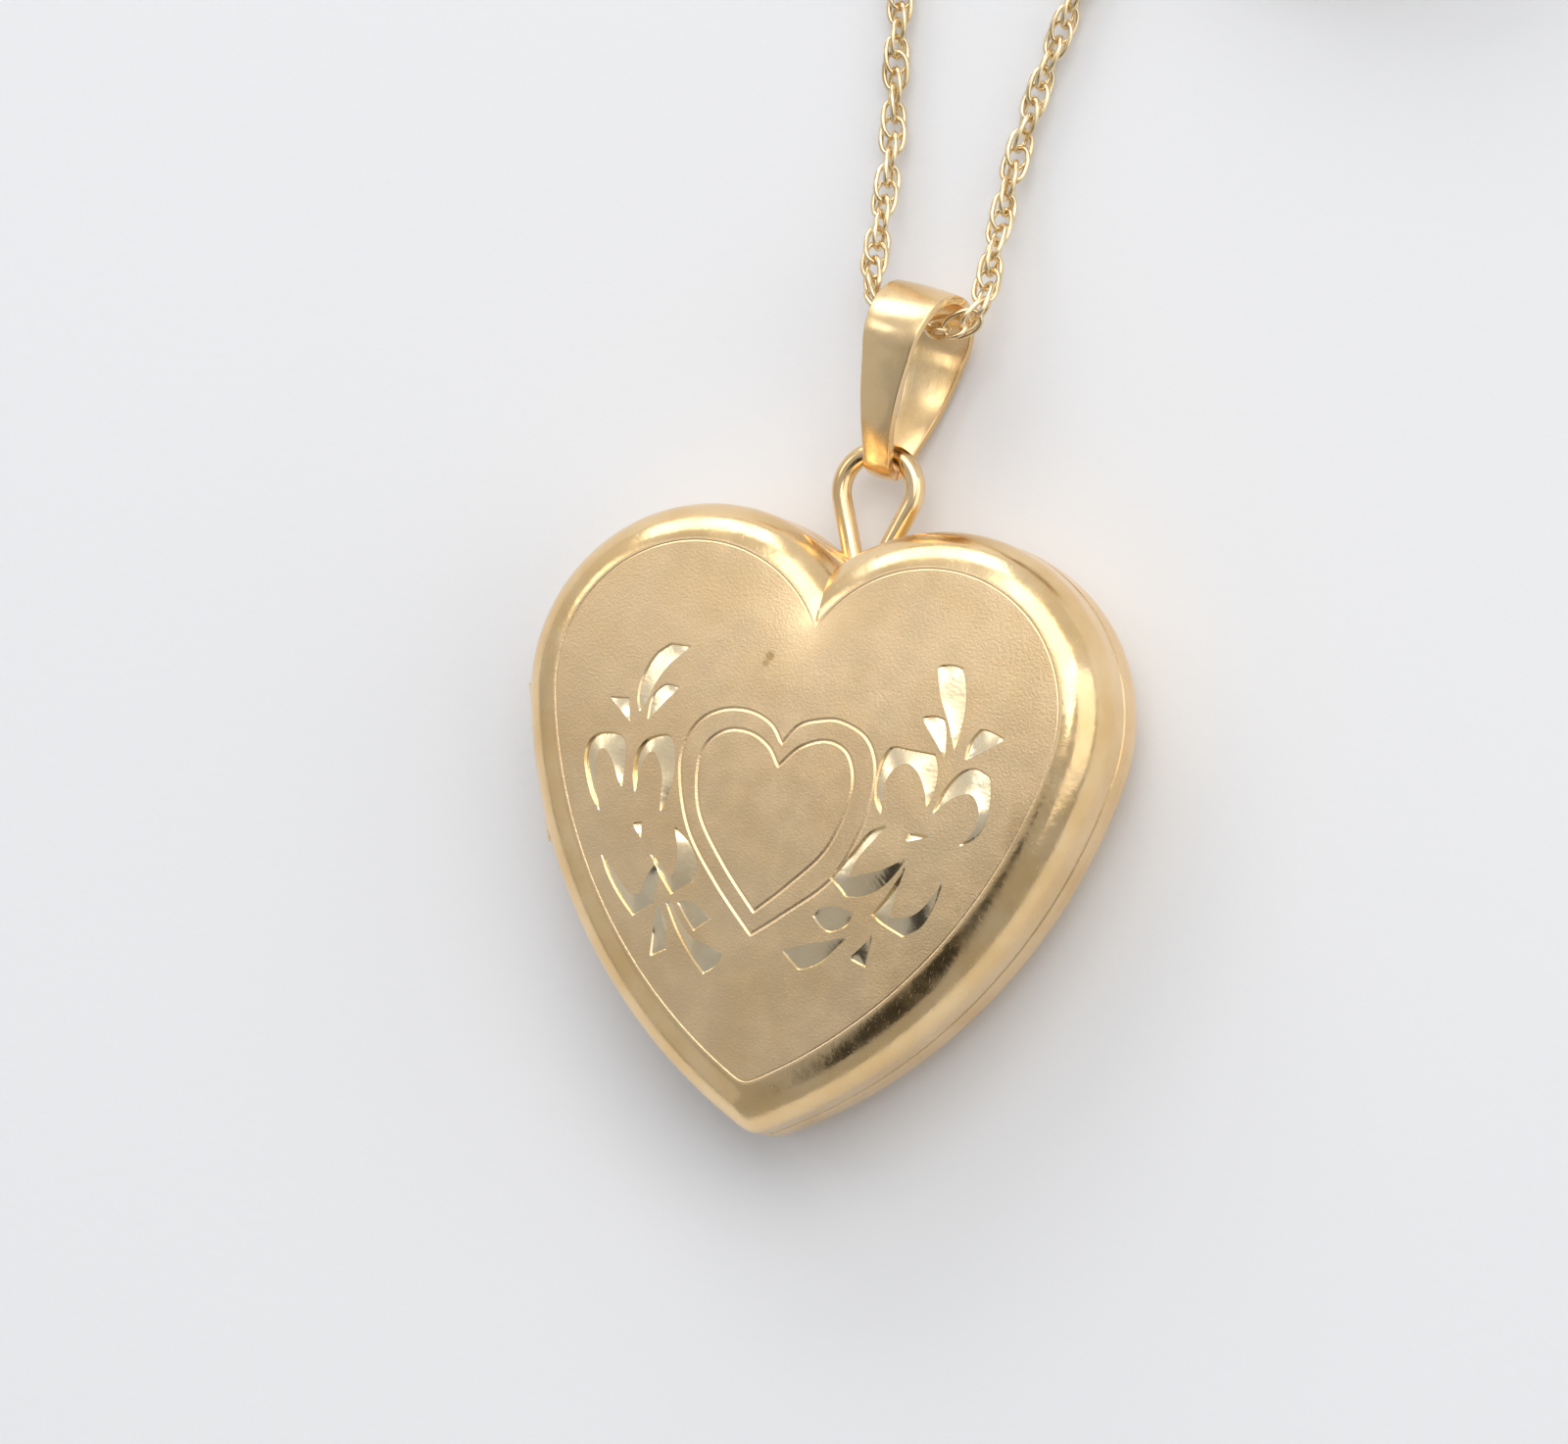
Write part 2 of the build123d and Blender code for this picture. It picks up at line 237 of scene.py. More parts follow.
def film():
    """Clear plastic window, a little yellowed and rubbed."""
    s = Shader("clear_film")
    rubbed = s.span(s.noise(1.5), 0.4, 0.7, 0.04, 0.14)
    s.set(Base_Color=(0.98, 0.97, 0.93, 1), Roughness=rubbed, Alpha=0.26, IOR=1.46)
    s.bump([(s.noise(1.2), 0.004)], flat=True)
    return s.material


def card():
    """Uncoated card, off-white, with short fibres."""
    s = Shader("blank_card")
    fibres = s.noise(0.10, 3.0, s.stretched(35, (1.0, 0.25, 1.0)))
    tint = s.blend(fibres, (0.86, 0.84, 0.78, 1), (0.76, 0.73, 0.66, 1))
    s.set(Base_Color=tint, Roughness=0.85)
    s.bump([(fibres, 0.006)], flat=True)
    return s.material


def table_top():
    """Pale matt board that the locket lies on."""
    s = Shader("pale_board")
    tint = s.blend(s.noise(30.0), (0.875, 0.88, 0.895, 1), (0.855, 0.86, 0.875, 1))
    s.set(Base_Color=tint, Roughness=0.75)
    s.principled.inputs["Specular IOR Level"].default_value = 0.2
    s.bump([(s.noise(0.45, 3.0), 0.010)])
    return s.material


SATIN = metal(
    "satin_gold", (0.88, 0.65, 0.38, 1), (0.84, 0.60, 0.33, 1), 0.30, 0.38, grain=0.0085, marks=0.6,
    spots=[
        ((-1.20, 2.74, 5.14), 0.08, 0.65),
        ((-1.30, 2.50, 5.14), 0.06, 0.55),
        ((2.6, 2.2, 5.1), 0.05, 0.5),
        # painted dark reflection: a brown patch at the lower right edge of the face, beside the dark streak
        # in the rolled edge
        ((7.6, -1.6, 4.8), 0.35, 0.30),
    ],
)
POLISHED = metal("polished_gold", PALE, DEEP, 0.15, 0.25, ripple=0.0065, marks=0.7)
# the cuts take a paler, lighter copy of the satin's gold: painted sheen of the fresh cut facets
CUT = metal(
    "bright_cut_gold", (0.94, 0.79, 0.54, 1), (0.90, 0.72, 0.45, 1), 0.17, 0.29, ripple=0.005, marks=0.3
)
WIRE_GOLD = metal("wire_gold", PALE, DEEP, 0.12, 0.24, marks=0.5)
# the bail's spot is painted shade: a dark brown patch on its right side, round where it curls about the wire
# loop
BAIL_GOLD = metal("bail_gold", PALE, DEEP, 0.18, 0.30, marks=0.6, spots=[((1.2, 10.2, 1.6), 0.7, 0.35)])
CHAIN_GOLD = metal("chain_gold", (0.90, 0.74, 0.48, 1), (0.84, 0.66, 0.38, 1), 0.16, 0.26, marks=0.3)
INSIDE_GOLD = metal("inside_gold", (0.84, 0.62, 0.34, 1), DEEP, 0.22, 0.36, grain=0.0008, marks=0.5)
BRASS = metal("frame_brass", (0.80, 0.60, 0.29, 1), (0.70, 0.49, 0.20, 1), 0.20, 0.34, marks=0.5)
STEEL = metal("spring_steel", (0.58, 0.57, 0.55, 1), (0.48, 0.47, 0.46, 1), 0.22, 0.34, marks=0.4)
FILM = film()
CARD = card()

# ---- mesh helpers ------------------------------------------------------------------------------


def make_object(name, points, faces, materials, tags=None):
    """Mesh object from points in mm; tags gives each face its material's number."""
    mesh = bpy.data.meshes.new(name)
    mesh.from_pydata((np.asarray(points) * MM).tolist(), [], faces)
    for material in materials:
        mesh.materials.append(material)
    if tags is not None:
        mesh.polygons.foreach_set("material_index", np.asarray(tags, np.int32))
    obj = bpy.data.objects.new(name, mesh)
    bpy.context.scene.collection.objects.link(obj)
    return obj


def finish_mesh(obj, weld=0.0, crease=35.0):
    """Welds coincident points, faces the normals outward and shades smooth up to the crease angle."""
    work = bmesh.new()
    work.from_mesh(obj.data)
    if weld:
        bmesh.ops.remove_doubles(work, verts=work.verts, dist=weld * MM)
    bmesh.ops.recalc_face_normals(work, faces=work.faces)
    work.to_mesh(obj.data)
    work.free()
    obj.data.polygons.foreach_set("use_smooth", [True] * len(obj.data.polygons))
    obj.data.set_sharp_from_angle(angle=math.radians(crease))
    return obj


def grid_faces(rows, columns, close_rows=False, close_columns=True):
    """Quads of a grid of points stored row by row."""
    faces = []
    for r in range(rows if close_rows else rows - 1):
        for c in range(columns if close_columns else columns - 1):
            a, b = r * columns, ((r + 1) % rows) * columns
            d = (c + 1) % columns
            faces.append((a + c, a + d, b + d, b + c))
    return faces


def resample(points, step):
    """Points along a polyline, about `step` apart, its ends kept."""
    points = np.asarray(points, float)
    run = np.concatenate([[0], np.cumsum(np.linalg.norm(np.diff(points, axis=0), axis=1))])
    at = np.linspace(0, run[-1], max(2, int(round(run[-1] / step)) + 1))
    return np.column_stack([np.interp(at, run, points[:, k]) for k in range(points.shape[1])])


def stroke(points, step=0.07):
    """Smooth line through the points. A point that is given twice is a corner."""
    runs, current = [], [points[0]]
    for before, here in zip(points, points[1:]):
        if here == before:
            runs.append(current)
            current = [here]
        else:
            current.append(here)
    runs.append(current)
    line = []
    for run in runs:
        p = np.asarray(run, float)
        ends = np.vstack([2 * p[0] - p[1], p, 2 * p[-1] - p[-2]])
        t = np.linspace(0, 1, 12, endpoint=False)[:, None]
        bends = []
        for a, b, c, d in zip(ends, ends[1:], ends[2:], ends[3:]):
            square = 2 * a - 5 * b + 4 * c - d
            cube = 3 * b - a - 3 * c + d
            bends.append(0.5 * (2 * b + (c - a) * t + square * t**2 + cube * t**3))
        smooth = resample(np.vstack(bends + [p[-1:]]), step)
        line.append(smooth if not line else smooth[1:])
    return np.vstack(line)


def inside(points, polygon):
    """Which points lie in a closed polygon."""
    x, y = points[:, 0, None], points[:, 1, None]
    a, b = polygon, np.roll(polygon, -1, axis=0)
    spans = (a[:, 1] > y) != (b[:, 1] > y)
    rise = np.where(b[:, 1] == a[:, 1], 1.0, b[:, 1] - a[:, 1])
    crossing = (b[:, 0] - a[:, 0]) * (y - a[:, 1]) / rise + a[:, 0]
    return (spans & (x < crossing)).sum(axis=1) % 2 == 1


def reach(points, line):
    """Distance from each point to a polyline, and how far along the line its nearest point is."""
    a, b = line[:-1], line[1:]
    d = b - a
    length = np.maximum(np.linalg.norm(d, axis=1), 1e-9)
    start = np.concatenate([[0], np.cumsum(length)[:-1]])
    t = ((points[:, None] - a) * d).sum(2) / length**2
    t = np.clip(t, 0, 1)
    gap = np.linalg.norm(points[:, None] - (a + t[..., None] * d), axis=2)
    best = gap.argmin(1)
    row = np.arange(len(points))
    return gap[row, best], start[best] + t[row, best] * length[best]


# ---- heart outline -----------------------------------------------------------------------------

PER_ARC = 90             # points on each lobe and on each flank
TIP_PASSES = 4           # how often the tip's points are averaged, which rounds it
TIP_REACH = 9            # points on each side of the tip that this moves
HEART_FIELD = (-10.5, 10.5, -12.5, 8.5)


def arc(centre, radius, angles):
    return np.column_stack([centre[0] + radius * np.cos(angles), centre[1] + radius * np.sin(angles)])


def contour(inset):
    """The outline moved inward, as a closed loop from the cleft down the right side and back up."""
    lobe = LOBE_RADIUS - inset
    flank = FLANK_RADIUS - inset
    cleft = math.acos(-LOBE_CENTRE[0] / lobe)
    tip = -math.acos(-FLANK_CENTRE[0] / flank)
    upper = arc(LOBE_CENTRE, lobe, np.linspace(cleft, FLANK_START, PER_ARC, endpoint=False))
    lower = arc(FLANK_CENTRE, flank, np.linspace(FLANK_START, tip, PER_ARC + 1))
    right = np.vstack([upper, lower])
    loop = np.vstack([right, right[-2:0:-1] * (-1, 1)])
    around = np.arange(2 * PER_ARC - TIP_REACH, 2 * PER_ARC + TIP_REACH + 1)
    for _ in range(TIP_PASSES):
        loop[around] = 0.5 * loop[around] + 0.25 * (loop[around - 1] + loop[around + 1])
    return loop


# ---- engraving ---------------------------------------------------------------------------------

# Each cut has a deep edge, where the graver stands steep, and a feather edge, where it leaves the
# surface. The facet between them is hollow. The last number is the depth, mm.
LEFT_SPRAY = [
    ([(-5.15, 0.50), (-5.30, 1.00), (-5.25, 1.65), (-4.95, 2.35), (-4.50, 2.75), (-4.50, 2.75),
      (-3.75, 2.75)],
     [(-3.75, 2.75), (-4.40, 2.10), (-4.75, 1.50), (-4.95, 0.90), (-5.15, 0.50)], 0.07),
    ([(-4.85, 0.30), (-4.85, 0.80), (-4.75, 1.20), (-4.40, 1.50), (-3.90, 1.45)],
     [(-3.90, 1.45), (-4.30, 1.00), (-4.60, 0.60), (-4.85, 0.30)], 0.06),
    ([(-6.25, 0.90), (-5.55, 0.95), (-5.55, 0.95), (-5.40, 0.20)],
     [(-5.40, 0.20), (-6.25, 0.90)], 0.08),
    ([(-5.95, -2.70), (-6.40, -2.10), (-6.75, -1.20), (-6.75, -0.65), (-6.50, -0.30), (-6.15, -0.20),
      (-5.70, -0.20), (-5.45, -0.45), (-5.35, -1.10), (-5.35, -1.85)],
     [(-5.35, -1.85), (-5.55, -1.55), (-5.80, -1.05), (-6.15, -0.70), (-6.35, -0.95), (-6.30, -1.70),
      (-5.95, -2.70)], 0.09),
    ([(-4.85, -2.10), (-5.05, -1.35), (-5.05, -0.75), (-4.80, -0.30), (-4.45, -0.10), (-4.00, -0.05),
      (-3.75, -0.45), (-3.65, -1.05), (-3.70, -1.65), (-3.95, -2.50)],
     [(-3.95, -2.50), (-4.00, -1.85), (-4.05, -1.30), (-4.25, -0.85), (-4.50, -0.60), (-4.75, -0.90),
      (-4.85, -1.50), (-4.85, -2.10)], 0.09),
    ([(-4.85, -2.85), (-4.50, -2.75), (-4.50, -2.75), (-4.45, -3.30)],
     [(-4.45, -3.30), (-4.85, -2.85)], 0.09),
    ([(-5.80, -3.80), (-5.50, -4.40), (-5.00, -5.05), (-4.40, -5.65), (-4.40, -5.65), (-3.75, -5.20),
      (-3.75, -5.20), (-3.70, -4.50), (-3.80, -3.90)],
     [(-3.80, -3.90), (-4.10, -4.40), (-4.25, -4.90), (-4.60, -4.95), (-5.20, -4.40), (-5.80, -3.80)], 0.08),
    ([(-4.15, -3.60), (-3.75, -4.20), (-3.20, -4.85), (-3.20, -4.85), (-2.50, -4.35), (-2.50, -4.35),
      (-2.45, -3.80), (-2.80, -3.20), (-3.40, -2.75)],
     [(-3.40, -2.75), (-3.20, -3.40), (-3.15, -3.90), (-3.30, -4.30), (-3.70, -3.95), (-4.15, -3.60)], 0.09),
    ([(-3.65, -6.05), (-3.65, -6.80), (-3.65, -6.80), (-3.10, -6.50), (-3.10, -6.50), (-3.15, -5.90)],
     [(-3.15, -5.90), (-3.35, -5.50), (-3.60, -5.20), (-3.65, -6.05)], 0.06),
    ([(-3.35, -5.10), (-2.90, -5.85), (-2.35, -6.55), (-1.80, -7.10), (-1.80, -7.10), (-1.40, -6.80),
      (-1.20, -6.40)],
     [(-1.20, -6.40), (-1.75, -6.20), (-2.35, -6.00), (-2.90, -5.45), (-3.15, -5.05), (-3.35, -5.10)], 0.07),
    ([(-2.95, -5.05), (-2.65, -5.45), (-2.30, -5.85), (-2.30, -5.85), (-1.75, -5.40)],
     [(-1.75, -5.40), (-2.20, -5.10), (-2.60, -4.95), (-2.95, -5.05)], 0.06),
]
RIGHT_SPRAY = [
    ([(4.20, 3.10), (4.60, 3.20), (5.00, 3.15), (5.00, 3.15), (5.20, 2.60), (5.30, 1.90), (5.25, 1.20),
      (5.15, 0.60)],
     [(5.15, 0.60), (4.85, 1.40), (4.45, 2.20), (4.20, 3.10)], 0.09),
    ([(3.95, 1.50), (4.35, 1.60), (4.70, 1.55), (4.70, 1.55), (4.85, 1.10), (4.90, 0.35)],
     [(4.90, 0.35), (4.50, 0.85), (3.95, 1.50)], 0.08),
    ([(5.50, 0.35), (5.55, 0.85), (5.75, 1.25), (6.00, 1.40), (6.70, 1.20)],
     [(6.70, 1.20), (6.25, 0.85), (5.50, 0.35)], 0.09),
    ([(3.20, -1.70), (2.90, -1.10), (2.85, -0.50), (2.95, 0.10), (3.20, 0.50), (3.75, 0.50), (4.60, 0.45),
      (4.60, 0.45), (4.75, 0.00), (4.75, -0.60), (4.55, -1.25)],
     [(4.55, -1.25), (4.45, -0.75), (4.15, -0.20), (3.75, 0.05), (3.35, -0.20), (3.15, -0.75), (3.20, -1.70)],
     0.09),
    ([(4.75, -1.40), (4.90, -0.85), (5.15, -0.35), (5.50, 0.05), (5.90, 0.20), (6.40, 0.00), (6.40, 0.00),
      (6.50, -0.65), (6.45, -1.40), (6.20, -1.90), (5.60, -2.30)],
     [(5.60, -2.30), (6.05, -1.80), (6.20, -1.30), (6.10, -0.85), (5.80, -0.60), (5.25, -0.85),
      (4.75, -1.40)], 0.09),
    ([(4.05, -2.30), (4.15, -2.00), (4.15, -2.00), (4.95, -2.00)],
     [(4.95, -2.00), (4.05, -2.30)], 0.09),
    ([(3.50, -1.80), (2.90, -2.15), (2.40, -2.90), (1.85, -3.70), (1.85, -3.70), (2.20, -3.95), (2.45, -4.20),
      (2.45, -4.20), (2.90, -4.15), (3.40, -3.90), (3.85, -3.40), (4.20, -2.75)],
     [(4.20, -2.75), (3.50, -3.20), (2.85, -3.45), (2.45, -3.60), (2.45, -3.60), (2.65, -3.00), (3.10, -2.35),
      (3.50, -1.80)], 0.09),
    ([(4.25, -2.80), (3.95, -3.50), (3.65, -4.10), (3.30, -4.60), (3.30, -4.60), (3.70, -4.85), (4.40, -5.15),
      (4.40, -5.15), (4.90, -4.80), (5.20, -4.20), (5.45, -3.20)],
     [(5.45, -3.20), (4.95, -4.10), (4.50, -4.50), (3.90, -4.60), (3.90, -4.60), (4.05, -3.70),
      (4.25, -2.80)], 0.09),
    ([(1.50, -4.90), (1.80, -5.20), (2.15, -5.30), (2.60, -5.05), (2.80, -4.65)],
     [(2.80, -4.65), (2.30, -4.50), (1.75, -4.60), (1.50, -4.90)], 0.06),
    ([(0.65, -6.05), (1.05, -6.40), (1.35, -6.55), (1.95, -6.25), (2.40, -5.75), (2.75, -5.30)],
     [(2.75, -5.30), (2.10, -5.55), (1.40, -5.75), (0.65, -6.05)], 0.07),
    ([(2.80, -6.00), (3.35, -6.20), (3.35, -6.20), (3.50, -4.90)],
     [(3.50, -4.90), (3.30, -5.40), (2.80, -6.00)], 0.08),
]
OUTER_HEART = [
    (-0.30, 0.15), (-0.75, 0.70), (-1.50, 1.00), (-2.35, 0.95), (-3.05, 0.55), (-3.45, -0.20),
    (-3.45, -1.20), (-2.90, -2.80), (-1.75, -4.30), (-0.40, -5.70), (-0.40, -5.70), (0.50, -5.00),
    (1.90, -3.75), (2.60, -2.20), (2.85, -0.95), (2.75, 0.00), (2.30, 0.70), (1.45, 1.05),
    (0.80, 1.00), (0.15, 0.75), (-0.30, 0.15),
]
INNER_HEART = [
    (-0.30, -0.55), (-0.70, 0.00), (-1.35, 0.35), (-2.10, 0.35), (-2.70, -0.10), (-2.90, -0.90),
    (-2.60, -2.30), (-1.60, -3.70), (-0.40, -5.00), (-0.40, -5.00), (0.55, -4.10), (1.60, -2.90),
    (2.10, -1.50), (2.15, -0.60), (1.80, 0.15), (1.10, 0.40), (0.30, 0.10), (-0.30, -0.55),
]
HEART_LINE = (0.075, 0.030)      # half width and depth of the two hearts' lines
BORDER_GROOVE = (0.040, 0.014)   # the same for the line round the face
CUT_DEPTH = 1.15         # every cut is this much deeper than its row says
WALL_WIDTH = 0.05        # the steep side of a cut, seen from above
CHATTER_PITCH = 0.16     # ripples that the graver leaves across a cut
CHATTER_DEPTH = 0.006
CHATTER_SWELL = 1.7      # they come and go along it, radians per mm
CUT_SPACING = 0.075      # mesh points in a cut
FEATHER_CLEARANCE = 0.035


def beside(line, offset):
    """A closed line moved sideways."""
    along = np.roll(line, -1, axis=0) - np.roll(line, 1, axis=0)
    along /= np.linalg.norm(along, axis=1)[:, None]
    return line + offset * np.column_stack([-along[:, 1], along[:, 0]])


class Groove:
    """V-shaped line, closed."""

    def __init__(self, loop, size):
        self.line = loop
        self.half_width, self.full = size
        self.loops = [beside(loop, side * self.half_width) for side in (-1, 0, 1)]

    def depth(self, points):
        gap, _ = reach(points, np.vstack([self.line, self.line[:1]]))
        return self.full * np.clip(1 - gap / self.half_width, 0, 1), gap < self.half_width * 1.02


class Cut:
    """One bright cut between its deep edge and its feather edge."""

    def __init__(self, deep_edge, feather_edge, depth):
        self.deep = stroke(deep_edge)
        self.feather = stroke(feather_edge)
        self.full = depth * CUT_DEPTH
        self.outline = np.vstack([self.deep[:-1], self.feather[:-1]])

    def fill(self):
        """Points in the cut: one line at the foot of the steep side, and an even spread."""
        low, high = self.outline.min(0), self.outline.max(0)
        x, y = np.meshgrid(*(np.arange(a, b, CUT_SPACING) for a, b in zip(low, high)))
        spread = np.column_stack([x.ravel(), y.ravel()])
        along = np.gradient(self.deep, axis=0)
        along /= np.maximum(np.linalg.norm(along, axis=1)[:, None], 1e-9)
        across = np.column_stack([-along[:, 1], along[:, 0]])
        feet = np.vstack([self.deep + side * WALL_WIDTH * across for side in (-1, 1)])
        feet = feet[inside(feet, self.outline)]
        gap = reach(feet, self.deep)[0]
        feet = feet[gap > 0.9 * WALL_WIDTH]
        spread = spread[inside(spread, self.outline)]
        if len(spread):
            spread = spread[reach(spread, self.deep)[0] > 1.8 * WALL_WIDTH]
        if len(spread):
            spread = spread[reach(spread, self.feather)[0] > FEATHER_CLEARANCE]
        return np.vstack([feet, spread])

    def depth(self, points):
        level = np.zeros(len(points))
        hit = inside(points, self.outline)
        if hit.any():
            to_deep, along = reach(points[hit], self.deep)
            to_feather, _ = reach(points[hit], self.feather)
            slope = to_feather / np.maximum(to_feather + to_deep, 1e-9)
            swell = np.sin(along * CHATTER_SWELL) ** 2
            chatter = CHATTER_DEPTH * np.sin(2 * np.pi * along / CHATTER_PITCH) * slope * swell
            level[hit] = (self.full * slope + chatter) * np.clip(to_deep / WALL_WIDTH, 0, 1)
        return level, hit


def hex_points(step):
    """Even spread over a field that holds the whole heart."""
    low_x, high_x, low_y, high_y = HEART_FIELD
    rows = np.arange(low_y, high_y, step * math.sqrt(0.75))
    points = []
    for number, y in enumerate(rows):
        x = np.arange(low_x, high_x, step) + (step / 2 if number % 2 else 0)
        points.append(np.column_stack([x, np.full(len(x), y)]))
    return np.vstack(points)


def soap_film(points, triangles, fixed):
    """Height of an evenly blown film over the points, 0 where it is fixed, 1 at its highest."""
    a, b, c = (points[triangles[:, k]] for k in range(3))
    area2 = np.abs((b[:, 0] - a[:, 0]) * (c[:, 1] - a[:, 1]) - (b[:, 1] - a[:, 1]) * (c[:, 0] - a[:, 0]))
    area2 = np.maximum(area2, 1e-9)
    count = len(points)
    first, second, weight = [], [], []
    for k, (p, q, r) in enumerate(((a, b, c), (b, c, a), (c, a, b))):
        first.append(triangles[:, (k + 1) % 3])
        second.append(triangles[:, (k + 2) % 3])
        weight.append(0.5 * ((q - p) * (r - p)).sum(1) / area2)
    first, second, weight = (np.concatenate(v) for v in (first, second, weight))
    diagonal = np.bincount(first, weight, count) + np.bincount(second, weight, count)
    load = np.bincount(triangles.ravel(), np.repeat(area2 / 6, 3), count)
    free = ~fixed
    load[fixed] = 0

    def stiffness(z):
        out = diagonal * z - np.bincount(first, weight * z[second], count)
        out -= np.bincount(second, weight * z[first], count)
        return out * free

    height = np.zeros(count)
    rest = load.copy()
    scale = np.where(free, 1 / np.maximum(diagonal, 1e-6), 0)
    step = scale * rest
    energy = rest @ step
    for _ in range(1500):
        pull = stiffness(step)
        size = energy / (step @ pull)
        height += size * step
        rest -= size * pull
        ready = scale * rest
        fresh = rest @ ready
        if fresh < 1e-16:
            break
        step = ready + fresh / energy * step
        energy = fresh
    return height / height.max()


def crown(cuts, grooves, spacing, rise):
    """The face inside the roll: points (height above the roll's end), triangles, tags and drawn lines."""
    border = contour(BORDER_INSET)
    fixed_lines = [border]
    for groove in grooves:
        fixed_lines += groove.loops
    fixed_lines += [cut.outline for cut in cuts]
    coords, edges = [], []
    for line in fixed_lines:
        start = len(coords)
        coords.extend(line.tolist())
        edges.extend((start + k, start + (k + 1) % len(line)) for k in range(len(line)))
    drawn = np.vstack(fixed_lines)
    fill = [cut.fill() for cut in cuts]
    field = hex_points(spacing)
    field = field[inside(field, border)]
    for cut in cuts:
        field = field[~inside(field, cut.outline)]
    nearest = np.full(len(field), 9.0)
    for block in np.array_split(drawn, max(1, len(drawn) // 200)):
        nearest = np.minimum(nearest, np.linalg.norm(field[:, None] - block, axis=2).min(1))
    coords.extend(np.vstack(fill + [field[nearest > 0.35 * spacing]]).tolist())
    result = delaunay_2d_cdt([Vector(p) for p in coords], edges, [], 1, 1e-5, True)
    flat = np.array([tuple(v) for v in result[0]])
    triangles = np.array([tuple(f) for f in result[2]])
    triangles = triangles[inside(flat[triangles].mean(1), border)]
    on_border = reach(flat, np.vstack([border, border[:1]]))[0] < 1e-4
    used = np.zeros(len(flat), bool)
    used[triangles.ravel()] = True
    height = rise * soap_film(flat, triangles, on_border | ~used)
    depth = np.zeros(len(flat))
    middles = flat[triangles].mean(1)
    tags = np.zeros(len(triangles), int)
    for feature in list(grooves) + list(cuts):
        depth = np.maximum(depth, feature.depth(flat)[0])
    for cut in cuts:
        tags[cut.depth(middles)[1]] = 2
    corners = np.column_stack([flat, height - depth])
    lines = {tuple(sorted(edge)) for edge, origin in zip(result[1], result[4]) if origin}
    return corners, triangles, tags, lines


# ---- the two shells ----------------------------------------------------------------------------

FRONT_SPACING = 0.20     # mesh points on the engraved face
BACK_SPACING = 0.30
ROOM_CLEARANCE = 0.08
WELD = 0.004
SHELL_CREASE = 28.0      # degrees, above which an edge of a shell stays sharp

INSIDE_RINGS = 10        # how many of the rings below belong to the inside


def section_rings():
    """Inset and height above the parting plane, from the middle of the inside round to the roll's end."""
    inner = ROLL_RADIUS - SHEET
    rings = []
    for turn in np.linspace(ROLL_END, 0, 9):
        rings.append((ROLL_RADIUS - inner * math.cos(turn), WALL_HEIGHT + inner * math.sin(turn)))
    rings += [(SHEET, 0.45), (SHEET, 0.06), (SHEET - 0.05, 0.02), (0.13, 0.02), (0.05, 0.045), (0.012, 0.09)]
    rings += [(0, 0.15), (0, 0.30), (0, 0.60)]
    for turn in np.linspace(0, ROLL_END, 25):
        rings.append((ROLL_RADIUS * (1 - math.cos(turn)), WALL_HEIGHT + ROLL_RADIUS * math.sin(turn)))
    return rings


def shell(name, cuts, grooves, spacing, rise, flip, materials):
    """One half of the locket: inside skin, edge at the parting plane, wall, roll and face."""
    rings = section_rings()
    first_inset, first_height = rings[0]
    inner_rim = contour(first_inset)
    rows = []
    for share in np.linspace(0, 0.92, 9):
        height = first_height + (rise - 0.02) * (1 - share**2)
        rows.append(np.column_stack([inner_rim * share, np.full(len(inner_rim), height)]))
    inside_rows = len(rows) + INSIDE_RINGS
    for inset, height in rings:
        loop = contour(inset)
        rows.append(np.column_stack([loop, np.full(len(loop), height)]))
    columns = len(inner_rim)
    points = np.vstack(rows)
    faces = grid_faces(len(rows), columns)
    tags = [3 if face[0] // columns < inside_rows else 1 for face in faces]
    corners, triangles, face_tags, lines = crown(cuts, grooves, spacing, rise)
    corners[:, 2] += BORDER_RISE
    base = len(points)
    points = np.vstack([points, corners])
    faces += [tuple(base + t) for t in triangles]
    tags += list(face_tags)
    sharp = {tuple(sorted((base + a, base + b))) for a, b in lines}
    points[:, 2] = PARTING + points[:, 2] * (-1 if flip else 1)
    obj = make_object(name, points, faces, materials, tags)
    mark = obj.data.attributes.new("drawn", "BOOLEAN", "EDGE")
    mark.data.foreach_set("value", [tuple(sorted(e.vertices)) in sharp for e in obj.data.edges])
    return obj


def hinge_tool(middle, length):
    """Cylinder round the hinge's axis that makes room for the other half's knuckle."""
    x = FLANK_CENTRE[0] + (FLANK_RADIUS + HINGE_STAND_OFF) * math.cos(HINGE_ANGLE)
    y = FLANK_CENTRE[1] + (FLANK_RADIUS + HINGE_STAND_OFF) * math.sin(HINGE_ANGLE)
    axis = Vector((math.sin(HINGE_ANGLE), math.cos(HINGE_ANGLE), 0))
    turn = axis.to_track_quat("Z", "Y").to_matrix().to_4x4()
    work = bmesh.new()
    bmesh.ops.create_cone(
        work, cap_ends=True, segments=32, radius1=BARREL_ROOM, radius2=BARREL_ROOM, depth=length
    )
    place = Matrix.Translation(Vector((-x, y, PARTING)) + axis * middle) @ turn
    bmesh.ops.transform(work, matrix=place, verts=work.verts)
    bmesh.ops.scale(work, vec=(MM, MM, MM), verts=work.verts)
    mesh = bpy.data.meshes.new("hinge_tool")
    work.to_mesh(mesh)
    work.free()
    tool = bpy.data.objects.new("hinge_tool", mesh)
    bpy.context.scene.collection.objects.link(tool)
    return tool


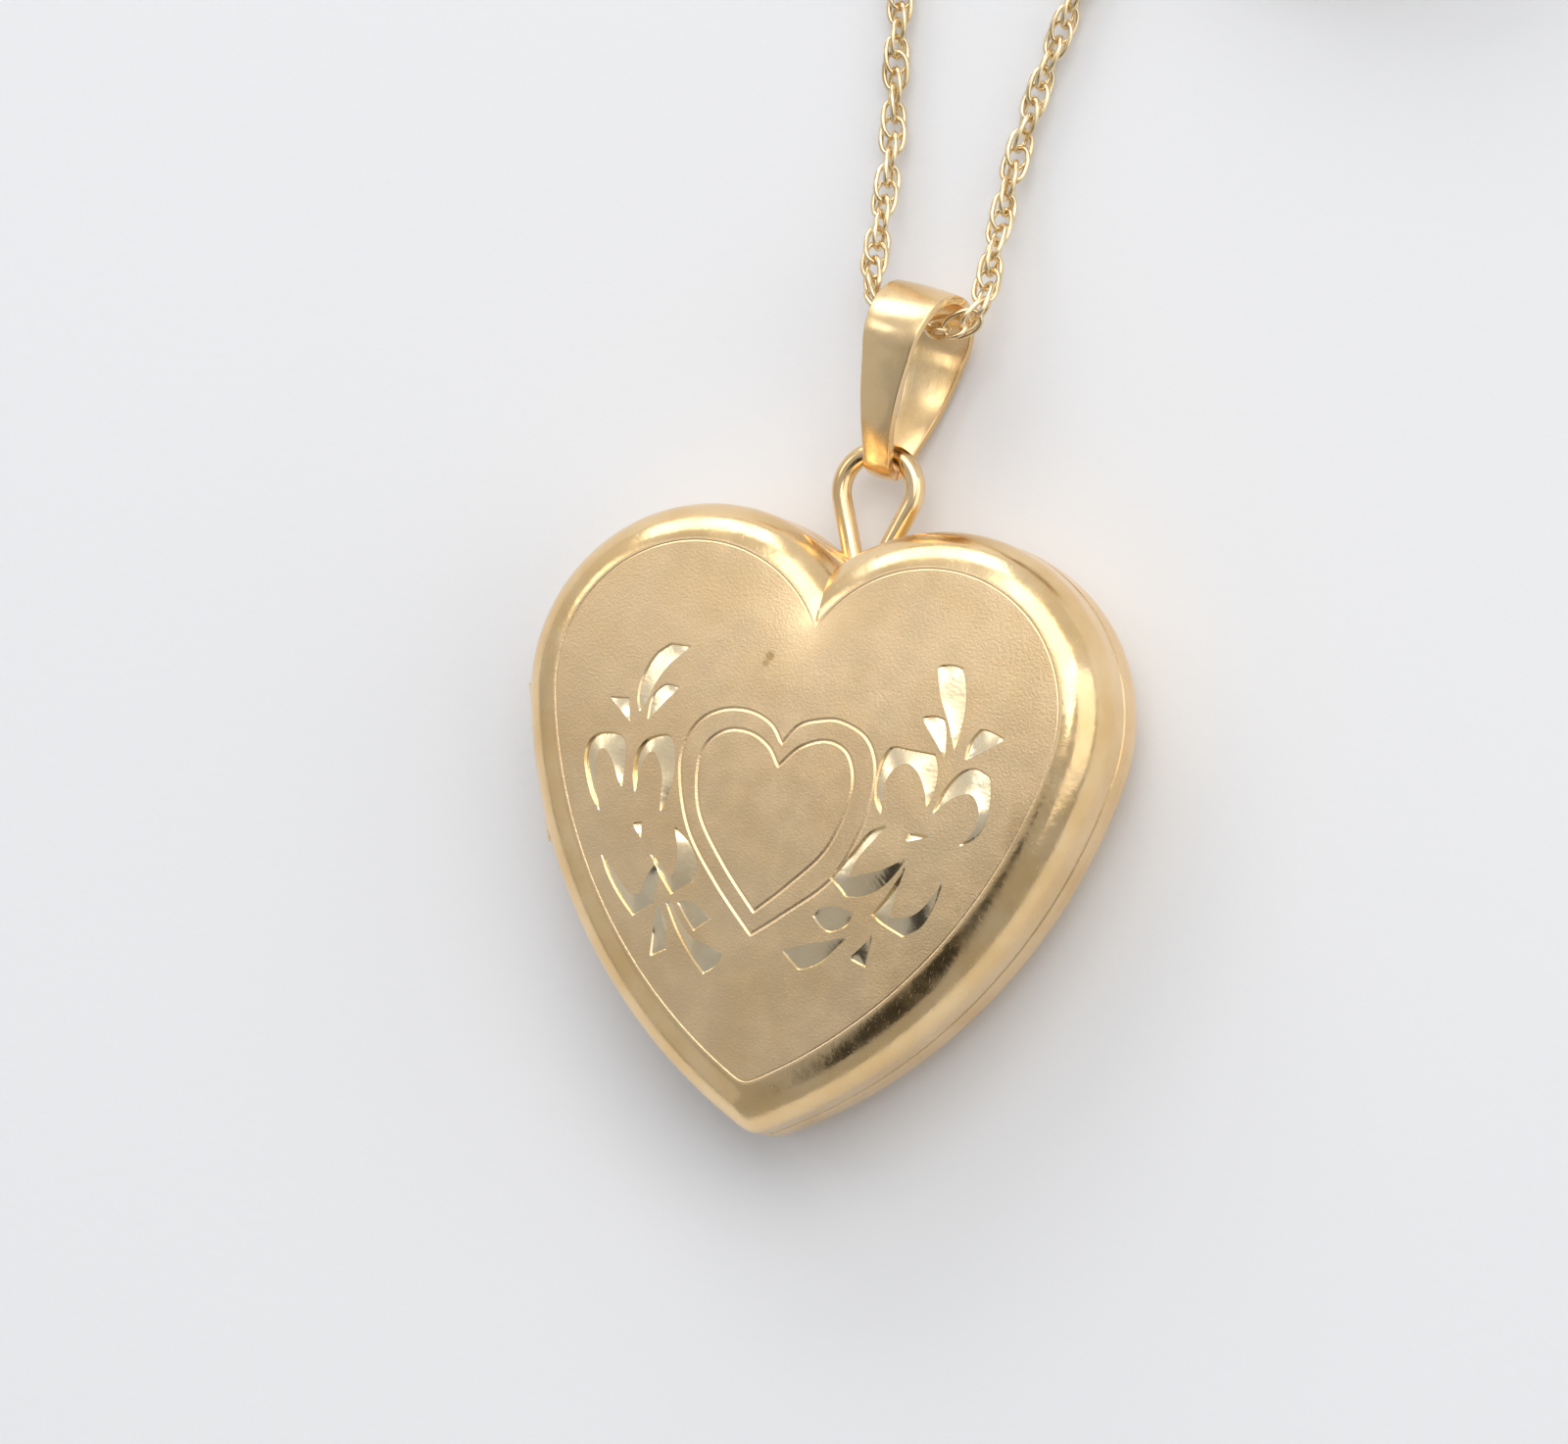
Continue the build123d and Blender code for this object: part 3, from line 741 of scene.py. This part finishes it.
def cut_hinge_room(obj, spans):
    """Takes the knuckles' room out of a shell's edge."""
    tools = [hinge_tool(middle, length) for middle, length in spans]
    for tool in tools:
        modifier = obj.modifiers.new("room", "BOOLEAN")
        modifier.operation = "DIFFERENCE"
        modifier.solver = "EXACT"
        modifier.object = tool
    bpy.context.view_layer.update()
    evaluated = obj.evaluated_get(bpy.context.evaluated_depsgraph_get())
    mesh = bpy.data.meshes.new_from_object(evaluated)
    obj.modifiers.clear()
    obj.data = mesh
    for tool in tools:
        bpy.data.objects.remove(tool)


def close_shell(obj, spans):
    """Welds a shell, takes the knuckles' room out of it and sets its sharp edges."""
    finish_mesh(obj, weld=WELD)
    cut_hinge_room(obj, spans)
    obj.data.polygons.foreach_set("use_smooth", [True] * len(obj.data.polygons))
    obj.data.set_sharp_from_angle(angle=math.radians(SHELL_CREASE))
    if "drawn" in obj.data.attributes:
        drawn = np.zeros(len(obj.data.edges), bool)
        obj.data.attributes["drawn"].data.foreach_get("value", drawn)
        for edge in np.flatnonzero(drawn):
            obj.data.edges[int(edge)].use_edge_sharp = True
    return obj


def front_cover():
    cuts = [Cut(*row) for row in LEFT_SPRAY + RIGHT_SPRAY]
    hearts = [stroke(points, 0.08)[:-1] for points in (OUTER_HEART, INNER_HEART)]
    grooves = [Groove(heart, HEART_LINE) for heart in hearts] + [Groove(contour(BORDER_LINE), BORDER_GROOVE)]
    materials = [SATIN, POLISHED, CUT, INSIDE_GOLD]
    cover = shell("front_cover_shell", cuts, grooves, FRONT_SPACING, FRONT_RISE, False, materials)
    room = KNUCKLE + ROOM_CLEARANCE
    return close_shell(cover, [(-KNUCKLE, room), (KNUCKLE, room)])


def back_shell():
    materials = [POLISHED, POLISHED, POLISHED, INSIDE_GOLD]
    back = shell("back_shell_body", [], [], BACK_SPACING, BACK_RISE, True, materials)
    return close_shell(back, [(0, KNUCKLE + 2 * ROOM_CLEARANCE)])


# ---- loop and bail -----------------------------------------------------------------------------


def tube(name, path, radius, material, sides=16):
    """Round wire along a path that stays in one level plane, with flat ends."""
    path = np.asarray(path, float)
    along = np.gradient(path, axis=0)
    along /= np.linalg.norm(along, axis=1)[:, None]
    side = np.column_stack([along[:, 1], -along[:, 0], np.zeros(len(path))])
    angles = np.linspace(0, 2 * np.pi, sides, endpoint=False)
    rows = []
    for centre, out in zip(path, side):
        rows.append(centre + radius * (np.cos(angles)[:, None] * out + np.sin(angles)[:, None] * UP))
    points = np.vstack(rows)
    faces = grid_faces(len(rows), sides)
    faces.append(tuple(range(sides))[::-1])
    faces.append(tuple(range(len(points) - sides, len(points))))
    obj = make_object(name, points, faces, [material])
    return finish_mesh(obj, crease=50)


def wire_loop():
    """Omega of round wire: a near circle whose two legs close in and run into the cleft."""
    foot_x, foot_y = LOOP_FOOT
    reach_out = math.hypot(foot_x, foot_y - LOOP_CENTRE_Y)
    touch = math.atan2(foot_y - LOOP_CENTRE_Y, foot_x) + math.acos(LOOP_RADIUS / reach_out)
    ring = arc((0, LOOP_CENTRE_Y), LOOP_RADIUS, np.linspace(touch, math.pi - touch, 49))
    foot = np.array([[foot_x, foot_y]])
    leg = np.vstack([foot + (ring[0] - foot) * t for t in np.linspace(0, 0.9, 6)])
    line = np.vstack([leg, ring, leg[::-1] * (-1, 1)])
    path = np.column_stack([line, np.full(len(line), LOOP_HEIGHT)])
    return tube("bail_wire_loop", path, WIRE_RADIUS, WIRE_GOLD, 20)


# half width of the bail's strip as a cubic of the distance from the loop, fitted to five places;
# up to 0.05 under the CAD's
BAIL_WIDTHS = np.polyfit((-0.9, 0.3, 2.2, 3.6, 5.3), (0.48, 0.50, 0.74, 0.90, 1.12), 3)
BAIL_BOW = 0.20          # how far each strip bulges out; straight in the CAD
BAIL_BACK_SWELL = 0.13   # peak extra per side of the back strip; none in the CAD
BAIL_DOME = 0.05
BAIL_EDGE = 0.055        # radius of the strip's edges
BAIL_CURL_START = math.radians(175)   # the curl round the loop stops just short of meeting


def bail_side_line():
    """Middle of the sheet in side view: from the curl's gap up the front, round the fold, down the back."""
    lean = math.pi / 2 + math.asin((BAIL_FOLD - BAIL_CURL) / BAIL_LENGTH)
    front_curl = arc((0, 0), BAIL_CURL, np.linspace(BAIL_CURL_START, lean, 14))
    fold = arc((BAIL_LENGTH, 0), BAIL_FOLD, np.linspace(lean, -lean, 40))
    strip = []
    start, end = front_curl[-1], fold[0]
    out = np.array([math.cos(lean), math.sin(lean)])
    for t in np.linspace(0, 1, 16)[1:-1]:
        strip.append(start + (end - start) * t + out * BAIL_BOW * math.sin(math.pi * t))
    half = np.vstack([front_curl, strip])
    return np.vstack([half, fold, half[::-1] * (1, -1)])


def strip_section(half_width):
    """Section of the strip, thickness outward: rounded edges and a slightly domed outer face."""
    half_sheet = BAIL_SHEET / 2
    corner_x, corner_y = half_width - BAIL_EDGE, half_sheet - BAIL_EDGE
    points = []
    for cx, cy, start in ((1, 1, 0), (-1, 1, 90), (-1, -1, 180), (1, -1, 270)):
        turns = np.radians(start + np.linspace(0, 90, 5))
        points.extend(arc((cx * corner_x, cy * corner_y), BAIL_EDGE, turns))
        if start in (0, 180):
            points.extend((x, cy * half_sheet) for x in np.linspace(cx, -cx, 7)[1:-1] * corner_x)
    section = np.array(points)
    section[:, 1] += BAIL_DOME * (1 - (section[:, 0] / half_width) ** 2)
    return section


def bail_strip():
    side = bail_side_line()
    along = np.gradient(side, axis=0)
    along /= np.linalg.norm(along, axis=1)[:, None]
    rows = []
    for (u, v), (du, dv) in zip(side, along):
        half_width = float(np.polyval(BAIL_WIDTHS, u))
        if v < 0 and u > 0:
            half_width += BAIL_BACK_SWELL * math.sin(math.pi * u / (BAIL_LENGTH + BAIL_FOLD))
        section = strip_section(half_width)
        rows.append(np.column_stack([section[:, 0], u - dv * section[:, 1], v + du * section[:, 1]]))
    sides = len(rows[0])
    points = np.vstack(rows)
    faces = grid_faces(len(rows), sides)
    faces.append(tuple(range(sides))[::-1])
    faces.append(tuple(range(len(points) - sides, len(points))))
    seat_x = LOOP_RADIUS * math.sin(BAIL_TURN)
    seat_y = LOOP_CENTRE_Y + LOOP_RADIUS * math.cos(BAIL_TURN)
    place = (
        Matrix.Translation((seat_x, seat_y, LOOP_HEIGHT))
        @ Matrix.Rotation(-BAIL_TURN, 4, "Z")
        @ Matrix.Rotation(BAIL_TURN, 4, "X")
        @ Matrix.Rotation(-BAIL_TURN, 4, "Y")
    )
    turn = np.array(place)
    points = points @ turn[:3, :3].T + turn[:3, 3]
    return finish_mesh(make_object("bail_strip", points, faces, [BAIL_GOLD]), crease=50)


# ---- chain -------------------------------------------------------------------------------------

LINK_PITCH = 0.51
LINK_HALF_LENGTH = 0.60  # middle of the wire
LINK_HALF_WIDTH = 0.37
LINK_WIRE = 0.085        # radius
LINK_SQUARENESS = 0.85   # under 1, the oval has fuller corners than an ellipse
LINK_TWIST = math.radians(45)
FINE_LINKS = 45.0        # length from the clasp over which the links are finely meshed
COIL_POINTS = 20         # for each turn
TOP_TURNS = 2.6          # turns in the coil's third layer


def coil_points():
    """Neat coil in three layers: inwards, outwards and inwards again."""
    span = COIL_OUTER - COIL_INNER
    turns_across = span / CHAIN_DIAMETER
    low, middle, high = (CHAIN_DIAMETER * (layer + 0.5) for layer in range(3))
    legs = [
        (turns_across, COIL_OUTER, COIL_INNER, low, low),
        (1.0, COIL_INNER, COIL_INNER, low, middle),
        (turns_across, COIL_INNER, COIL_OUTER, middle, middle),
        (1.0, COIL_OUTER, COIL_OUTER, middle, high),
        (TOP_TURNS, COIL_OUTER, COIL_OUTER - TOP_TURNS * CHAIN_DIAMETER, high, high),
    ]
    points, turned = [], 0.0
    for turns, from_radius, to_radius, from_height, to_height in legs:
        steps = int(round(turns * COIL_POINTS))
        for step in range(steps):
            share = step / steps
            radius = from_radius + (to_radius - from_radius) * share
            angle = math.pi - 2 * math.pi * (turned + turns * share)
            x = COIL_CENTRE[0] + radius * math.cos(angle)
            y = COIL_CENTRE[1] + radius * math.sin(angle)
            points.append((x, y, from_height + (to_height - from_height) * share))
        turned += turns
    return points


def chain_line():
    """The chain's middle line: a smooth curve with the route's points as its control points."""
    route = CHAIN_ROUTE + coil_points()
    curve = bpy.data.curves.new("chain_route", "CURVE")
    curve.dimensions = "3D"
    curve.resolution_u = 6
    spline = curve.splines.new("NURBS")
    spline.points.add(len(route) - 1)
    for point, place in zip(spline.points, route):
        point.co = (*(c * MM for c in place), 1.0)
    spline.order_u = 3
    spline.use_endpoint_u = True
    holder = bpy.data.objects.new("chain_route", curve)
    bpy.context.scene.collection.objects.link(holder)
    bpy.context.view_layer.update()
    mesh = bpy.data.meshes.new_from_object(holder)
    line = np.array([tuple(v.co) for v in mesh.vertices]) / MM
    bpy.data.objects.remove(holder)
    bpy.data.meshes.remove(mesh)
    keep = np.concatenate([[True], np.linalg.norm(np.diff(line, axis=0), axis=1) > 1e-4])
    return line[keep]


def carried_frames(line):
    """Direction of the line at each point, and a side direction carried along it without twist."""
    along = np.gradient(line, axis=0)
    along /= np.linalg.norm(along, axis=1)[:, None]
    side = np.zeros_like(along)
    current = UP
    for k, direction in enumerate(along):
        current = current - direction * (current @ direction)
        current /= np.linalg.norm(current)
        side[k] = current
    return along, side


def link_points(around, sides):
    """One oval link of round wire, long axis along x, lying in the xy plane."""
    a = np.linspace(0, 2 * np.pi, around, endpoint=False)
    middle = np.column_stack(
        [
            LINK_HALF_LENGTH * np.sign(np.cos(a)) * np.abs(np.cos(a)) ** LINK_SQUARENESS,
            LINK_HALF_WIDTH * np.sign(np.sin(a)) * np.abs(np.sin(a)) ** LINK_SQUARENESS,
            np.zeros(around),
        ]
    )
    run = np.roll(middle, -1, axis=0) - np.roll(middle, 1, axis=0)
    run /= np.linalg.norm(run, axis=1)[:, None]
    out = np.column_stack([run[:, 1], -run[:, 0], np.zeros(around)])
    b = np.linspace(0, 2 * np.pi, sides, endpoint=False)
    rings = middle[:, None] + LINK_WIRE * (
        np.cos(b)[None, :, None] * out[:, None] + np.sin(b)[None, :, None] * UP
    )
    return rings.reshape(-1, 3)


def rope_chain(line):
    """Links threaded along the line, each turned an eighth of a turn on from the one before."""
    along, side = carried_frames(line)
    run = np.concatenate([[0], np.cumsum(np.linalg.norm(np.diff(line, axis=0), axis=1))])
    dice = np.random.default_rng(11)
    models = {}
    for fine, around, sides in ((True, 24, 8), (False, 12, 5)):
        models[fine] = (link_points(around, sides), grid_faces(around, sides, close_rows=True))
    points, faces, base = [], [], 0
    for number in range(int((run[-1] - 0.6) / LINK_PITCH)):
        at = 0.4 + number * LINK_PITCH
        centre, direction, up = (
            np.array([np.interp(at, run, field[:, k]) for k in range(3)]) for field in (line, along, side)
        )
        direction /= np.linalg.norm(direction)
        up -= direction * (up @ direction)
        up /= np.linalg.norm(up)
        twist = number * LINK_TWIST + dice.normal(0, math.radians(5))
        across = math.cos(twist) * up + math.sin(twist) * np.cross(direction, up)
        tilt = dice.normal(0, math.radians(4))
        lengthwise = math.cos(tilt) * direction + math.sin(tilt) * np.cross(across, direction)
        model, model_faces = models[at < FINE_LINKS]
        turn = np.array([lengthwise, across, np.cross(lengthwise, across)])
        points.append(model @ turn + centre)
        faces += [tuple(base + k for k in face) for face in model_faces]
        base += len(model)
    return finish_mesh(make_object("rope_chain_links", np.vstack(points), faces, [CHAIN_GOLD]), crease=60)


# ---- everything in place -----------------------------------------------------------------------


def settle(piece, body, finish, *nodes):
    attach(piece, body)
    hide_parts(*nodes)
    return piece


line = chain_line()
links = settle(rope_chain(line), "chain", "chain_gold", "chain_strands", "chain_coil")
settle(front_cover(), "cover", "satin_gold", "front_cover")
settle(back_shell(), "back", "polished_gold", "back_shell")
settle(wire_loop(), "back", "gold_wire", "bail_loop")
settle(bail_strip(), "bail", "bail_gold", "bail")

CAD_FINISHES = {
    "snap_rim": BRASS,
    "back_photo_frame": BRASS,
    "cover_photo_frame": BRASS,
    "hinge_pin": BRASS,
    "back_knuckles": WIRE_GOLD,
    "cover_knuckle": WIRE_GOLD,
    "back_window": FILM,
    "cover_window": FILM,
    "back_photo": CARD,
    "cover_photo": CARD,
    "clasp_jump_ring": WIRE_GOLD,
    "clasp_eye": WIRE_GOLD,
    "clasp_ring": WIRE_GOLD,
    "clasp_bolt": WIRE_GOLD,
    "clasp_spring": STEEL,
    "chain_end_ring": WIRE_GOLD,
}
for node_name, finish in CAD_FINISHES.items():
    node = NODES[node_name]
    if not node.material_slots:
        node.data.materials.append(finish)
    for place in node.material_slots:
        place.material = finish

# ---- floor, light and camera -------------------------------------------------------------------


def plane(name, centre, size, toward, material):
    """Flat card facing a point, mm."""
    half_x, half_y = size[0] / 2, size[1] / 2
    points = [(-half_x, -half_y, 0), (half_x, -half_y, 0), (half_x, half_y, 0), (-half_x, half_y, 0)]
    obj = make_object(name, points, [(0, 1, 2, 3)], [material])
    obj.location = [c * MM for c in centre]
    obj.rotation_mode = "QUATERNION"
    obj.rotation_quaternion = (Vector(toward) - Vector(centre)).to_track_quat("Z", "Y")
    return obj


def soft_light(name, centre, size, watts, colour):
    """Rectangular area light that faces the locket."""
    data = bpy.data.lights.new(name, "AREA")
    data.shape = "RECTANGLE"
    data.size, data.size_y = (s * MM for s in size)
    data.energy = watts
    data.color = colour
    obj = bpy.data.objects.new(name, data)
    obj.location = [c * MM for c in centre]
    obj.rotation_mode = "QUATERNION"
    obj.rotation_quaternion = (-Vector(centre)).to_track_quat("-Z", "Y")
    bpy.context.scene.collection.objects.link(obj)
    return obj


def dark_card():
    """Card over the lower right of the locket, seen only as the dark streak in its rolled edge."""
    dark = Shader("dark_card")
    dark.set(Base_Color=(0.02, 0.018, 0.015, 1), Roughness=0.9)
    card_plane = plane("dark_card", (92, -180, 300), (136, 310), (0, 0, 0), dark.material)
    card_plane.visible_camera = False
    card_plane.visible_shadow = False


DAYLIGHT = (1.0, 0.98, 0.95)
LAMPLIGHT = (1.0, 0.99, 0.97)

plane("floor", (0, 0, 0), (2400, 2400), (0, 0, 10), table_top())
dark_card()
# name, centre and size in mm, watts, colour
soft_light("window", (-190, 450, 210), (420, 260), 0.80, DAYLIGHT)
soft_light("overhead", (130, 270, 500), (450, 400), 1.15, LAMPLIGHT)
soft_light("right", (480, 80, 260), (460, 420), 0.52, LAMPLIGHT)
soft_light("upper_left", (-290, 125, 300), (80, 120), 0.052, LAMPLIGHT)
soft_light("lower_left", (-450, -220, 250), (400, 400), 0.07, LAMPLIGHT)


def studio():
    """Even pale surroundings, a little dimmer towards -Y than towards +Y."""
    world = bpy.data.worlds.new("studio")
    world.use_nodes = True
    tree = world.node_tree
    direction = tree.nodes.new("ShaderNodeTexCoord")
    split = tree.nodes.new("ShaderNodeSeparateXYZ")
    strength = tree.nodes.new("ShaderNodeMapRange")
    strength.inputs["From Min"].default_value = -0.25
    strength.inputs["From Max"].default_value = 0.55
    strength.inputs["To Min"].default_value = 0.42
    strength.inputs["To Max"].default_value = 0.78
    background = tree.nodes["Background"]
    background.inputs["Color"].default_value = (0.95, 0.965, 1.0, 1)
    tree.links.new(direction.outputs["Generated"], split.inputs["Vector"])
    tree.links.new(split.outputs["Y"], strength.inputs["Value"])
    tree.links.new(strength.outputs["Result"], background.inputs["Strength"])
    bpy.context.scene.world = world


studio()

VIEW_AZIMUTH = math.radians(-5.44)       # of the camera as the locket sees it, from +X
VIEW_ELEVATION = math.radians(68.58)
CAMERA_FOOT = Vector((0, -5.84, 2.98))   # the camera's distance is from here, mm
CAMERA_DISTANCE = 260.0
AIM = Vector((-2.26, 1.11, 0.5))
CAMERA_ROLL = math.radians(8.94)
LENS = 196.2
SENSOR = 36.0


def camera():
    """Long lens above the locket, leaning to its right side and rolled so that the chain runs up."""
    data = bpy.data.cameras.new("camera")
    data.sensor_width = SENSOR
    data.lens = LENS
    data.clip_start, data.clip_end = 0.01, 10.0
    obj = bpy.data.objects.new("camera", data)
    bpy.context.scene.collection.objects.link(obj)
    toward_camera = Vector(
        (
            math.cos(VIEW_ELEVATION) * math.cos(VIEW_AZIMUTH),
            math.cos(VIEW_ELEVATION) * math.sin(VIEW_AZIMUTH),
            math.sin(VIEW_ELEVATION),
        )
    )
    right = Vector((0, 1, 0)).cross(toward_camera).normalized()
    up = toward_camera.cross(right)
    leaning_up = math.cos(CAMERA_ROLL) * up - math.sin(CAMERA_ROLL) * right
    place = CAMERA_FOOT + toward_camera * CAMERA_DISTANCE
    back = (place - AIM).normalized()
    side = leaning_up.cross(back).normalized()
    turn = Matrix((side, back.cross(side), back)).transposed().to_4x4()
    obj.matrix_world = Matrix.Translation(place * MM) @ turn
    bpy.context.scene.camera = obj


camera()
bpy.context.scene.view_settings.view_transform = "Standard"
